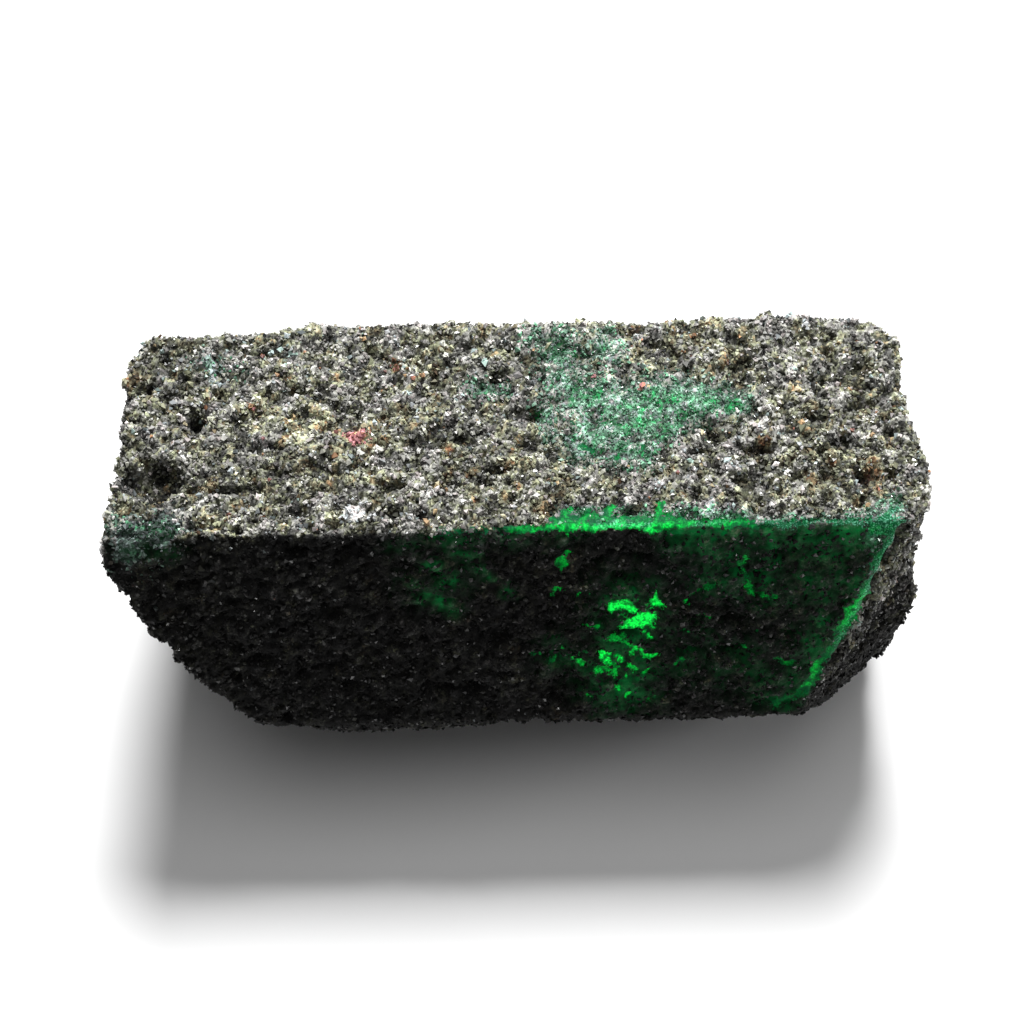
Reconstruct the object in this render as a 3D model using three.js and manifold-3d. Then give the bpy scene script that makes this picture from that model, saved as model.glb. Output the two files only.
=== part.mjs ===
// A raw emerald crystal: a stubby hexagonal prism of beryl lying on one of its long faces,
// with the schist it grew in still stuck to it. Millimetres, +Z up, +X along the crystal.
import * as THREE from 'three';
import { mergeVertices } from 'three/addons/utils/BufferGeometryUtils.js';
import Module from 'manifold-3d';

// Driving dimensions
const acrossFlats = 40;       // between two opposite long faces
const blankLength = 100;      // the untrimmed prism, longer than the crystal between its broken ends
const quarrySize = 120;       // edge of the cube that stands for all the rock beyond a break
const pitDetail = 3;          // how finely the rounded pits are faceted

const apothem = acrossFlats / 2;
const cornerRadius = apothem / Math.cos(Math.PI / 6);

// Each break is a plane: the way it faces, and a point that it runs through
const breaks = [
  { name: 'left end', faces: [-1, 0.06, -0.05], through: [-40.5, -11.5, 39.5] },
  { name: 'left shoulder', faces: [-0.88, -0.37, -0.33], through: [-40.2, -13.7, 36.3] },
  { name: 'left foot', faces: [-0.76, -0.58, -0.41], through: [-27.8, -22.8, 20.6] },
  { name: 'left back foot', faces: [-0.82, 0.46, -0.34], through: [-37.0, 19.0, 15.0] },
  { name: 'right end', faces: [1, 0.03, -0.02], through: [40.4, -6.0, 38.0] },
  { name: 'right front slant', faces: [0.70, -0.70, 0.08], through: [33.2, -17.1, 30.2] },
  { name: 'right foot', faces: [0.56, -0.63, -0.42], through: [36.3, -16.8, 16.0] },
  { name: 'right back chip', faces: [0.74, 0.62, 0.26], through: [37.8, 11.2, 40.0] },
  { name: 'right back foot', faces: [0.70, 0.50, -0.50], through: [36.5, 18.5, 11.0] },
];

// Each pit is a rounded hollow where part of the crust came away:
// its middle, and its half-widths along X, Y and Z
const pits = [
  { name: 'top left pit', middle: [-34.7, -4.4, 40.5], reach: [2.9, 2.3, 1.7] },
  { name: 'left rim notch', middle: [-40.7, 5.0, 40.3], reach: [2.4, 1.3, 2.4] },
  { name: 'top right pit', middle: [34.4, -6.4, 40.6], reach: [1.8, 1.6, 1.5] },
  { name: 'right rim scar', middle: [44.0, 7.0, 38.0], reach: [5.3, 9.0, 9.0] },
  { name: 'front pluck', middle: [-16.0, -21.8, 27.8], reach: [3.6, 1.9, 2.8] },
  { name: 'back pluck', middle: [12.0, 22.3, 25.0], reach: [5.2, 2.2, 3.8] },
];

const wasm = await Module();
wasm.setup();

// A closed three.js geometry becomes a solid that can be cut
function solidFrom(geometry) {
  const bare = geometry.clone();
  bare.deleteAttribute('normal');
  bare.deleteAttribute('uv');
  const merged = mergeVertices(bare, 1e-4);
  return new wasm.Manifold(new wasm.Mesh({
    numProp: 3,
    vertProperties: new Float32Array(merged.attributes.position.array),
    triVerts: new Uint32Array(merged.index.array),
  }));
}

// A cut solid becomes a flat-shaded three.js geometry again
function geometryFrom(solid) {
  const mesh = solid.getMesh();
  const shared = new THREE.BufferGeometry();
  shared.setAttribute('position', new THREE.BufferAttribute(mesh.vertProperties, 3));
  shared.setIndex(new THREE.BufferAttribute(mesh.triVerts, 1));
  const faceted = shared.toNonIndexed();
  faceted.computeVertexNormals();
  return faceted;
}

// The whole hexagonal prism, lying along X with one long face down on z = 0
function prismBlank() {
  const section = new THREE.Shape();
  for (let corner = 0; corner < 6; corner += 1) {
    const angle = corner * Math.PI / 3;
    const y = cornerRadius * Math.cos(angle);
    const z = cornerRadius * Math.sin(angle) + apothem;
    if (corner === 0) section.moveTo(y, z);
    else section.lineTo(y, z);
  }
  section.closePath();
  const prism = new THREE.ExtrudeGeometry(section, { depth: blankLength, bevelEnabled: false });
  // the section's x, y and the extrusion's z become the crystal's Y, Z and X
  const toRow = new THREE.Matrix4().makeBasis(
    new THREE.Vector3(0, 1, 0),
    new THREE.Vector3(0, 0, 1),
    new THREE.Vector3(1, 0, 0),
  );
  prism.applyMatrix4(toRow);
  prism.translate(-blankLength / 2, 0, 0);
  return solidFrom(prism);
}

// The rock on the far side of a break, as a cube with one face on the break's plane
function rockBeyond({ faces, through }) {
  const outward = new THREE.Vector3(...faces).normalize();
  const turn = new THREE.Quaternion().setFromUnitVectors(new THREE.Vector3(0, 0, 1), outward);
  const cube = new THREE.BoxGeometry(quarrySize, quarrySize, quarrySize);
  cube.translate(0, 0, quarrySize / 2);
  cube.applyQuaternion(turn);
  cube.translate(...through);
  return solidFrom(cube);
}

// The rounded body that leaves one pit when it is taken away
function pitBody({ middle, reach }) {
  const ball = new THREE.IcosahedronGeometry(1, pitDetail);
  ball.scale(...reach);
  ball.translate(...middle);
  return solidFrom(ball);
}

function crystalGeometry() {
  let crystal = prismBlank();
  for (const parting of breaks) crystal = crystal.subtract(rockBeyond(parting));
  for (const pit of pits) crystal = crystal.subtract(pitBody(pit));
  return geometryFrom(crystal);
}

const schistCrust = new THREE.MeshStandardMaterial({ color: 0x56584f, roughness: 0.85, metalness: 0 });

const crystal = new THREE.Mesh(crystalGeometry(), schistCrust);
crystal.name = 'emerald_crystal';

const group = new THREE.Group();
group.add(crystal);

export default group;
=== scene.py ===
import math
import bpy
import numpy as np
from mathutils import Matrix, Vector


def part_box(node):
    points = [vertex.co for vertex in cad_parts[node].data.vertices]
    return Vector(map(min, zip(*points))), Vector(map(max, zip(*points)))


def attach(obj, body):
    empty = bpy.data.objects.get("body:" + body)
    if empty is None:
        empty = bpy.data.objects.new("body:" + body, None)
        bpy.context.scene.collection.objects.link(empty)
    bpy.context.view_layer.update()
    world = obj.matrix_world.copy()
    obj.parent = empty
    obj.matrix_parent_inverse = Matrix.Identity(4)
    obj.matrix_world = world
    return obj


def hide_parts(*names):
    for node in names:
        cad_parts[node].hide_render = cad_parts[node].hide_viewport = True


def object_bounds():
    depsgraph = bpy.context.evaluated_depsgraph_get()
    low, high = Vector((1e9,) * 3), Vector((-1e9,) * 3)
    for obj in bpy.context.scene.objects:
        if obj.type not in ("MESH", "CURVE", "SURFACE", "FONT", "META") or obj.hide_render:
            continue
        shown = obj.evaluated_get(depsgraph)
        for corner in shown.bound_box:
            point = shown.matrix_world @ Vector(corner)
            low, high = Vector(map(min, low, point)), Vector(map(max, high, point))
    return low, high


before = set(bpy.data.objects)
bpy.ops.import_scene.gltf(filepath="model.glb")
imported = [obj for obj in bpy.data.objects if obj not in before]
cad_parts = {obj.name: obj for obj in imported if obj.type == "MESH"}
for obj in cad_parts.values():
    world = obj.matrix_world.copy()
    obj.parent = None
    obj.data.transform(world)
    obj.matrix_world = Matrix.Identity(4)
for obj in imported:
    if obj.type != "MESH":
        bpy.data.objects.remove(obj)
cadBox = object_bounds()
mm = 0.001                 # lengths below are in millimetres, and meshes are in metres
nodeName = "emerald_crystal"


def scramble(cells, seed):
    # one even random number from 0 to 1 for each whole-numbered cell, always the same for a seed
    x, y, z = (cells[..., axis].astype(np.int64).astype(np.uint32) for axis in range(3))
    mixed = x * np.uint32(374761393) + y * np.uint32(668265263) + z * np.uint32(3266489917)
    mixed = mixed + np.uint32((seed * 2654435761 + 1013904223) % 2**32)
    mixed = (mixed ^ (mixed >> np.uint32(13))) * np.uint32(1274126177)
    mixed = (mixed ^ (mixed >> np.uint32(15))) * np.uint32(2246822519)
    return (mixed ^ (mixed >> np.uint32(16))) / 2.0**32


def softNoise(points, size, seed):
    # random numbers at the corners of cells of that size, blended smoothly in between: -1 to 1
    place = points / size
    base = np.floor(place)
    part = place - base
    part = part * part * (3 - 2 * part)
    total = np.zeros(len(points))
    for corner in np.ndindex(2, 2, 2):
        offset = np.array(corner)
        share = np.prod(np.where(offset, part, 1 - part), axis=-1)
        total += share * scramble(base + offset, seed)
    return 2 * total - 1


def pebbleNoise(points, size, seed):
    # Each point belongs to its nearest scattered centre. Gives its distance from it, how much farther the
    # next centre is, which is 0 where two pebbles meet, and that pebble's own random number.
    place = points / size
    base = np.floor(place)
    nearest = np.full(len(points), np.inf)
    second = nearest
    tone = np.zeros(len(points))
    for corner in np.ndindex(3, 3, 3):
        cell = base + np.array(corner) - 1
        centre = cell + np.stack([scramble(cell, seed + axis) for axis in (1, 2, 3)], axis=-1)
        distance = np.linalg.norm(centre - place, axis=-1)
        closer = distance < nearest
        second = np.where(closer, nearest, np.minimum(second, distance))
        nearest = np.where(closer, distance, nearest)
        tone = np.where(closer, scramble(cell, seed), tone)
    return nearest, second - nearest, tone


def bend(points, size, amount, seed):
    # the points pushed about by noise, so that what is drawn from them has no straight sides
    return points + amount * np.stack([softNoise(points, size, seed + axis) for axis in range(3)], axis=1)


def ease(low, high, value):
    # 0 below low, 1 above high, and a smooth step between
    part = np.clip((value - low) / (high - low), 0, 1)
    return part * part * (3 - 2 * part)


def unit(vectors):
    # the same directions, each 1 long
    return vectors / np.linalg.norm(vectors, axis=-1, keepdims=True)


crystal = {
    "rows": 334,           # rings from one end to the other
    # points across each long face, beginning with the one it rests on and going round
    "acrossFaces": [22, 42, 52, 68, 66, 42],
    "endReach": 14.0,      # how far inside an end the rays that draw it start
    "smallestFace": 12.0,  # square mm; smaller facets of the solid belong to its pits
    "edgeRounding": 0.35,  # how softly crust-covered edges turn
    "bareRounding": 0.22,  # the same where the beryl is bare
    "headroom": 0.76,      # how far the crust may rise above the solid's top
    "overhang": 0.90,      # and how far past its front and back corners
    "grainRoom": 1.15,     # how far above its top a grain may reach
    "bareFrom": 0.42,      # the mask at which the crust begins to thin out
    "bareTo": 0.62,        # and at which the beryl lies bare
}

# Where the crust came away: the middle, half-widths and depth of each pit, and how dark its painted shade
# is
pits = [
    ((-35.6, -5.0, 40.0), (3.9, 2.9, 3.0), 2.3, 0.9),
    ((-39.2, -3.9, 40.0), (2.4, 1.4, 2.5), 1.0, 0.9),
    ((-40.2, 5.0, 40.0), (3.2, 1.6, 3.0), 1.6, 0.4),
    ((34.5, -6.4, 40.0), (2.0, 1.7, 2.0), 1.6, 0.9),
    ((41.0, 4.0, 38.0), (3.4, 8.0, 8.0), 2.3, 0.0),
    ((41.2, 0.0, 39.0), (2.5, 1.8, 4.0), 1.2, 0.3),
    ((-42.0, 13.0, 40.0), (5.5, 4.5, 6.0), 3.0, 0.0),
    ((42.5, 13.5, 40.0), (8.0, 5.5, 7.0), 1.5, 0.0),
    ((-41.5, -1.0, 38.0), (4.0, 9.0, 7.0), 0.5, 0.0),
    ((-16.0, -21.0, 28.0), (3.8, 2.6, 3.2), 0.6, 0.0),
    ((12.0, 21.6, 25.0), (5.4, 2.8, 4.2), 1.0, 0.0),
    # the gap below is dark from real shadow and from painted shade
    ((37.6, -11.9, 37.3), (1.2, 1.5, 2.2), 1.5, 1.0),     # the dark gap beside the slanted edge
    ((36.7, -13.2, 34.8), (1.1, 1.5, 2.6), 1.5, 1.0),
    ((35.8, -14.4, 32.2), (1.1, 1.5, 2.4), 1.3, 1.0),
    ((34.9, -15.6, 29.8), (1.0, 1.4, 2.0), 0.9, 0.8),
]

# Small hollows of the top face, darkened with painted shade: x, y, half-length and half-width
hollows = [
    (-21.4, -8.9, 1.8, 0.8), (-29.0, -6.4, 1.9, 0.8), (-20.0, -3.9, 2.1, 0.9), (-17.9, 2.6, 1.4, 0.9),
    (-37.3, 5.5, 1.4, 1.1), (-31.9, 1.5, 1.7, 1.1), (-11.8, 5.7, 1.4, 1.0), (-1.8, 5.8, 1.4, 0.9),
    (2.0, 1.2, 1.3, 1.1), (1.4, -1.7, 1.6, 1.1), (-2.3, -4.9, 1.4, 0.8), (-5.6, -1.1, 1.2, 0.7),
    (-12.1, -9.4, 1.7, 1.0), (-9.4, -9.6, 1.5, 1.0), (32.3, -2.6, 1.6, 0.9), (37.3, -1.4, 1.6, 0.8),
    (29.8, 0.3, 1.8, 0.9), (23.2, 6.9, 1.4, 1.0), (39.3, 5.0, 0.9, 1.2), (34.9, 4.0, 1.6, 0.8),
    (23.6, -3.0, 1.7, 0.9), (33.1, -9.2, 1.6, 0.9), (3.0, -9.8, 1.1, 0.5), (11.1, -9.8, 1.4, 0.45),
    (17.0, -10.3, 1.1, 0.4), (-31.5, -10.5, 1.6, 0.6), (-36.0, -9.3, 1.4, 0.5), (-27.3, -10.9, 1.3, 0.5),
]


def planesOf(node):
    # the solid's large flat faces: unit normals, and distances from the origin
    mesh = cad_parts[node].data
    mesh.calc_loop_triangles()
    corners = np.zeros(len(mesh.loop_triangles) * 3, np.int32)
    mesh.loop_triangles.foreach_get("vertices", corners)
    places = np.zeros(len(mesh.vertices) * 3)
    mesh.vertices.foreach_get("co", places)
    a, b, c = (places.reshape(-1, 3) / mm)[corners].reshape(-1, 3, 3).transpose(1, 0, 2)
    across = np.cross(b - a, c - a)
    area = np.linalg.norm(across, axis=1) / 2
    a, across, area = a[area > 1e-6], across[area > 1e-6], area[area > 1e-6]
    normals = unit(across)
    distances = (normals * a).sum(1)
    # triangles belong to one face when their normals and distances round to the same numbers
    keys = np.round(np.column_stack([normals * 50, distances * 2])).astype(int)
    _, group = np.unique(keys, axis=0, return_inverse=True)
    group = group.ravel()
    total = np.bincount(group, area)
    large = total > crystal["smallestFace"]
    mean = [np.bincount(group, area * column) / total for column in (*normals.T, distances)]
    return np.stack(mean[:3], axis=1)[large], mean[3][large]


def raysFromAxis(low, high):
    # A round bar with flat ends, of the crystal's size, drawn as rings of points. Each point is a ray from
    # the bar's axis: straight out over the sides, and spreading from a little way inside over the ends.
    half = (high[0] - low[0]) / 2
    radius = (high[2] - low[2]) / 2
    side = radius * 2 * math.tan(math.pi / 6)
    along = np.linspace(0, 2 * (radius + half), crystal["rows"] + 2)[1:-1]
    barX = np.clip(along - radius, 0, 2 * half) - half
    barRadius = np.minimum(np.minimum(along, 2 * (radius + half) - along), radius)
    startX = np.clip(barX, crystal["endReach"] - half, half - crystal["endReach"])
    turn = np.concatenate([
        (face / 3 - 0.5) * math.pi + np.arctan((np.arange(count) / count - 0.5) * side / radius)
        for face, count in enumerate(crystal["acrossFaces"])])
    grid = np.ones((len(along), len(turn)))
    directions = np.stack([grid * (barX - startX)[:, None],
                           barRadius[:, None] * np.cos(turn), barRadius[:, None] * np.sin(turn)], axis=-1)
    starts = np.stack([grid * startX[:, None], 0 * grid, grid * radius], axis=-1)
    poles = np.array([[-1.0, 0, 0], [1.0, 0, 0]])
    poleStarts = np.array([[startX[0], 0, radius], [startX[-1], 0, radius]])
    return (np.vstack([starts.reshape(-1, 3), poleStarts]),
            unit(np.vstack([directions.reshape(-1, 3), poles])), len(turn))


def meetPlanes(starts, directions, normals, distances, rounding):
    # How far each ray goes to the nearest plane. The planes are blended where they are about as near, which
    # rounds the edges, and the same shares blend their normals.
    facing = directions @ normals.T
    reach = np.where(facing > 1e-6, (distances - starts @ normals.T) / np.maximum(facing, 1e-6), 1e6)
    nearest = reach.min(1, keepdims=True)
    shares = np.exp((nearest - reach) / rounding[:, None])
    total = shares.sum(1)
    return nearest[:, 0] - rounding * np.log(total), unit((shares / total[:, None]) @ normals)


# Windows on the upper front face: from x, down to x, down, half-width, how bare, how bright its painted
# glow is.
# down is the distance below the front top edge, measured on the face.
frontWindows = [
    (-1.0, 0.1, 22.5, 0.1, 0.50, 0.92, 0.30),    # the strip under the edge
    (1.2, 0.3, 5.0, 0.3, 0.44, 1.00, 0.75),
    (4.0, 0.2, 16.2, 0.2, 0.46, 1.00, 1.20),
    (16.2, 0.1, 21.0, 0.1, 0.38, 0.95, 0.70),
    (-9.0, 0.4, -0.5, 0.2, 0.42, 0.58, 0.06),
    (22.5, 0.1, 37.0, 0.1, 0.60, 0.68, 0.09),
    (34.6, 0.9, 36.6, 0.8, 0.90, 0.92, 0.15),    # the right corner
    (37.0, 0.5, 35.7, 5.2, 1.50, 0.73, 0.09),    # the slanted right edge
    (35.6, 5.2, 34.6, 8.2, 1.50, 0.72, 0.11),
    (34.6, 8.2, 32.9, 11.8, 1.25, 0.92, 0.22),
    (33.7, 9.6, 32.6, 12.2, 0.85, 1.10, 0.46),
    (32.6, 12.2, 31.4, 15.2, 0.95, 0.78, 0.13),
    (30.8, 15.2, 29.2, 20.4, 0.85, 0.80, 0.12),
    (30.0, 16.9, 29.0, 19.8, 0.55, 1.05, 0.42),
    (28.4, 20.5, 25.6, 21.8, 0.60, 0.66, 0.09),
    (10.9, 11.6, 12.9, 11.2, 0.88, 1.20, 1.00),  # the bright cluster
    (11.8, 10.5, 12.9, 10.8, 0.42, 1.15, 0.95),
    (12.0, 12.4, 12.9, 13.1, 0.30, 1.05, 0.80),
    (10.3, 11.9, 10.9, 12.2, 0.50, 1.05, 0.85),
    (10.2, 10.7, 10.8, 10.7, 0.18, 1.00, 0.60),
    (9.1, 10.0, 10.2, 9.3, 0.58, 1.20, 1.05),
    (9.7, 8.9, 9.9, 9.2, 0.30, 1.00, 0.90),
    (10.8, 9.1, 11.2, 9.8, 0.54, 1.20, 1.00),
    (13.2, 8.7, 13.9, 9.0, 0.60, 1.20, 1.05),
    (13.3, 7.6, 13.5, 8.4, 0.26, 1.05, 0.90),
    (11.8, 8.5, 12.0, 8.7, 0.22, 0.95, 0.60),
    (12.4, 9.7, 12.8, 10.3, 0.22, 1.00, 0.75),
    (8.9, 13.3, 10.4, 13.7, 0.60, 0.72, 0.40),
    (11.1, 14.1, 11.4, 15.3, 0.36, 0.95, 0.65),
    (12.0, 14.3, 12.8, 15.2, 0.32, 0.95, 0.70),
    (12.8, 14.9, 13.7, 15.2, 0.26, 0.95, 0.60),
    (13.2, 15.3, 13.0, 16.1, 0.22, 0.90, 0.50),
    (8.2, 15.3, 8.9, 15.7, 0.52, 1.20, 1.15),
    (8.8, 16.1, 9.5, 16.7, 0.42, 1.00, 0.70),
    (9.8, 15.5, 10.6, 16.2, 0.27, 1.10, 0.95),
    (7.9, 17.0, 9.3, 17.3, 0.50, 0.80, 0.55),
    (11.0, 16.6, 11.6, 16.9, 0.33, 1.10, 0.95),
    (12.0, 17.3, 12.7, 17.4, 0.20, 0.95, 0.65),
    (10.7, 17.7, 10.8, 18.4, 0.18, 0.90, 0.55),
    (9.7, 19.0, 10.1, 19.3, 0.27, 1.05, 0.80),
    (10.7, 20.2, 11.2, 19.6, 0.25, 1.00, 0.70),
    (6.9, 19.8, 7.4, 20.4, 0.25, 1.00, 0.80),
    (13.0, 20.9, 13.6, 20.6, 0.30, 0.80, 0.35),
    (13.5, 17.2, 13.6, 17.4, 0.14, 0.90, 0.40),
    (4.9, 3.1, 4.1, 4.2, 0.50, 1.05, 0.24),      # lone spots round it
    (4.0, 4.6, 4.1, 5.0, 0.28, 0.80, 0.12),
    (3.2, 6.7, 3.9, 7.1, 0.25, 0.95, 0.36),
    (3.3, 7.4, 3.2, 8.0, 0.30, 0.80, 0.18),
    (5.7, 7.6, 5.5, 8.3, 0.15, 0.85, 0.40),
    (6.9, 8.0, 7.1, 8.2, 0.14, 0.85, 0.30),
    (8.2, 7.9, 9.3, 8.2, 0.18, 0.65, 0.18),
    (6.3, 11.4, 6.8, 11.7, 0.16, 0.90, 0.36),
    (7.1, 12.0, 7.9, 11.9, 0.18, 0.90, 0.40),
    (1.2, 14.5, 2.2, 14.6, 0.30, 0.75, 0.18),
    (4.0, 14.3, 4.5, 14.5, 0.22, 1.00, 0.55),
    (3.0, 15.9, 3.3, 15.3, 0.24, 0.80, 0.26),
    (5.0, 15.9, 5.4, 16.0, 0.22, 1.00, 0.50),
    (5.9, 16.1, 6.4, 16.2, 0.27, 1.00, 0.50),
    (6.2, 15.1, 6.7, 14.5, 0.38, 0.75, 0.12),
    (15.6, 16.3, 16.3, 15.7, 0.32, 0.80, 0.24),
    (16.0, 8.7, 16.6, 8.8, 0.22, 0.90, 0.45),
    (17.7, 10.5, 18.7, 11.0, 0.22, 0.70, 0.26),
    (16.3, 12.4, 16.4, 12.8, 0.17, 0.80, 0.28),
    (22.4, 14.5, 22.6, 14.9, 0.28, 0.85, 0.30),
    (23.8, 12.6, 24.0, 12.8, 0.22, 0.80, 0.22),
    (26.4, 16.1, 26.6, 16.5, 0.30, 0.95, 0.36),
    (26.0, 15.8, 27.3, 16.9, 0.42, 0.75, 0.14),
    (16.6, 7.6, 19.2, 6.5, 0.42, 0.64, 0.15),    # the faint arc
    (22.3, 3.9, 22.4, 4.3, 0.28, 0.85, 0.30),
    (22.0, 4.6, 22.3, 6.4, 0.50, 0.70, 0.16),
    (22.5, 7.0, 23.4, 8.2, 0.42, 0.80, 0.22),
    (23.4, 8.2, 25.4, 8.6, 0.36, 0.75, 0.22),
]

# Windows on the top face: from x, y to x, y, half-width, how bare, how bright its painted glow is
topWindows = [
    (0.0, -11.6, 22.5, -11.6, 0.42, 0.92, 0.30),
    (4.5, -11.5, 16.0, -11.4, 0.40, 1.00, 1.30),
    (16.0, -11.6, 20.5, -11.5, 0.36, 1.00, 0.80),
    (-8.0, -11.6, 0.0, -11.6, 0.36, 0.56, 0.06),
    (22.5, -11.6, 37.0, -11.5, 0.45, 0.62, 0.11),
    (3.6, -10.7, 14.8, -10.6, 0.95, 0.76, 0.27),
    (15.0, -11.1, 21.5, -11.2, 0.65, 0.76, 0.22),
    (4.2, -10.4, 5.2, -9.2, 0.52, 1.00, 0.48),
    (8.4, -10.4, 9.4, -9.2, 0.62, 1.00, 0.52),
    (6.2, -10.6, 7.4, -10.2, 0.50, 0.95, 0.40),
    (13.5, -10.5, 13.9, -8.9, 0.52, 1.00, 0.52),
    (34.0, -11.3, 37.0, -11.2, 0.70, 0.76, 0.13),
    (35.8, -10.4, 36.8, -10.0, 0.60, 0.72, 0.08),
    (6.6, -2.3, 7.4, -2.9, 0.60, 0.90, 0.22),
    (9.6, -3.7, 10.4, -3.6, 0.45, 0.70, 0.22),
    (12.2, -3.0, 12.8, -2.6, 0.45, 0.66, 0.18),
    (5.5, 0.5, 6.5, 0.0, 0.50, 0.58, 0.16),
    (8.4, 0.6, 9.4, 0.3, 0.60, 0.58, 0.18),
]

# Thinner crust, through which a pale green tint and a faint painted glow show: from x, y to x, y,
# half-width, strength
topTints = [
    (4.0, 10.0, 6.2, 3.0, 2.5, 0.85),
    (9.4, 10.2, 9.8, 8.6, 1.6, 0.80),
    (6.5, 3.5, 12.0, 2.4, 2.7, 1.10),
    (10.0, 2.4, 16.5, 2.4, 2.7, 1.15),
    (16.5, 3.2, 22.0, 2.6, 1.7, 1.00),
    (6.5, -2.2, 12.0, -3.0, 1.9, 1.00),
    (8.0, -0.5, 14.5, 0.0, 2.0, 1.00),
    (2.6, 2.4, 3.8, -1.0, 1.0, 0.60),
    (-4.6, 4.8, -1.2, 4.2, 1.1, 0.50),
    (4.0, -10.4, 22.0, -10.8, 0.9, 0.75),
    (22.0, -11.2, 33.0, -11.2, 0.7, 0.50),
    (34.2, -11.2, 36.7, -9.6, 1.0, 1.00),
    (-39.5, -9.8, -33.0, -10.8, 1.3, 0.30),
    (-32.0, 8.6, -28.0, 7.8, 1.5, 0.18),
]

# Pale dust on the beryl of the upper front face: from x, down to x, down, half-width, strength
frontDust = [
    (7.6, 0.0, 12.6, 0.0, 0.40, 0.60),
    (17.4, 0.0, 20.0, 0.0, 0.40, 0.50),
    (23.5, 0.1, 33.0, 0.1, 0.50, 0.50),
    (33.4, 0.3, 36.8, 0.4, 1.00, 0.95),
    (37.4, 0.6, 35.9, 5.9, 1.05, 0.88),
    (35.9, 5.9, 34.7, 9.0, 0.95, 0.82),
    (33.8, 10.4, 32.0, 14.6, 0.50, 0.55),
    (31.9, 14.6, 30.6, 18.4, 0.40, 0.30),
]

# The same on the top face: from x, y to x, y, half-width, strength
topDust = [
    (7.8, -11.4, 12.6, -11.3, 0.50, 0.75),
    (17.4, -11.4, 20.0, -11.3, 0.45, 0.60),
    (23.5, -11.4, 33.0, -11.3, 0.50, 0.55),
    (34.0, -11.2, 36.8, -10.4, 1.20, 1.00),
]

# Crust thin enough for a dim green light to come through between its grains, on the upper front face, where
# that light is a painted glow
frontVeils = [
    (11.0, 9.0, 10.5, 19.5, 3.0, 0.85),
    (4.0, 15.0, 9.0, 18.0, 2.0, 0.45),
    (14.0, 0.6, 36.0, 0.8, 0.9, 1.40),
    (17.0, 2.0, 36.0, 2.5, 2.4, 0.70),
    (20.0, 6.0, 34.0, 7.0, 3.0, 0.48),
    (30.0, 12.0, 28.0, 20.0, 2.4, 0.60),
    (25.5, 21.0, 28.0, 20.8, 1.6, 0.80),
    (-12.0, 1.4, 6.0, 0.9, 1.2, 0.32),
    (-10.0, 6.5, -5.0, 5.0, 1.8, 0.30),
    (-3.9, 5.0, -3.1, 5.4, 0.7, 1.60),
    (-7.6, 8.6, -6.3, 9.0, 0.9, 1.40),
    (-9.6, 7.8, -8.2, 8.0, 0.7, 0.90),
    (-8.8, 4.1, -7.8, 4.1, 0.7, 0.80),
    (-6.0, 3.1, -4.0, 3.0, 0.7, 0.80),
    (-7.6, 5.9, -6.8, 5.8, 0.6, 0.90),
    (-1.3, 7.2, -0.5, 7.3, 0.6, 0.60),
    (14.0, 14.0, 24.0, 18.0, 3.2, 0.25),
    (-38.0, 1.2, -34.0, 1.6, 1.4, 0.20),
]

# Patches with their own colour: x, y, z, reach, place on the chart of casts, how light, and how much of the
# crust takes it there
accents = [
    (-15.9, -0.7, 40.0, 0.90, 0.03, 0.86, 1.6),   # the rose-coloured patch
    (-15.9, -9.2, 40.0, 1.30, 0.72, 0.95, 1.0),   # pale patches
    (-9.0, -7.8, 40.0, 0.70, 0.60, 0.92, 0.9),
    (24.5, -0.1, 40.0, 0.80, 0.60, 0.96, 1.0),
    (-31.0, 8.8, 40.0, 1.50, 0.80, 0.74, 0.7),
    (-30.5, 7.0, 40.0, 1.00, 0.78, 0.76, 0.7),
    (-34.5, 8.4, 40.0, 1.00, 0.76, 0.74, 0.6),
    (-22.8, 9.6, 40.0, 0.90, 0.80, 0.80, 0.7),
    (-25.6, 4.4, 40.0, 0.70, 0.34, 0.80, 0.8),    # straw and olive patches
    (-29.6, -10.7, 40.0, 0.60, 0.32, 0.78, 0.8),
    (-39.4, 6.2, 40.0, 1.00, 0.30, 0.66, 0.8),
    (28.0, 3.7, 40.0, 0.80, 0.24, 0.82, 0.8),
    (-12.0, 7.4, 40.0, 0.55, 0.10, 0.62, 0.9),    # rust
    (-26.4, 3.2, 40.0, 0.55, 0.12, 0.64, 0.9),
    (-28.3, -9.2, 40.0, 0.60, 0.11, 0.58, 0.8),
    (25.0, -2.2, 40.0, 0.60, 0.13, 0.62, 0.8),
    (37.2, -11.3, 39.6, 0.90, 0.82, 0.94, 0.6),   # pale dust down the slanted right edge
    (37.0, -12.2, 38.0, 0.80, 0.80, 0.94, 0.7),
    (36.4, -13.4, 36.0, 0.80, 0.78, 0.93, 0.7),
    (35.7, -14.6, 34.0, 0.80, 0.80, 0.92, 0.7),
    (34.9, -15.9, 31.8, 0.80, 0.78, 0.88, 0.6),
    (34.0, -17.2, 29.4, 0.70, 0.80, 0.82, 0.5),
    (36.2, -12.5, 38.3, 0.90, 0.83, 0.70, 0.6),   # and up its left side
    (35.4, -13.5, 36.5, 0.90, 0.84, 0.62, 0.6),
    (34.6, -14.5, 34.8, 0.90, 0.83, 0.66, 0.6),
    (33.8, -15.5, 33.1, 0.90, 0.84, 0.60, 0.6),
    (31.6, -18.4, 28.2, 0.80, 0.84, 0.58, 0.5),
    (34.2, -12.6, 38.2, 1.60, 0.90, 0.54, 0.7),   # the teal corners
    (-38.0, -12.6, 38.6, 2.10, 0.86, 0.49, 0.9),
    (-37.6, -11.3, 40.0, 2.20, 0.80, 0.56, 0.9),
    (-34.8, -10.6, 40.0, 2.60, 0.80, 0.46, 0.9),
    (-30.0, -11.2, 40.0, 1.80, 0.50, 0.46, 0.5),
]

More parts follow.
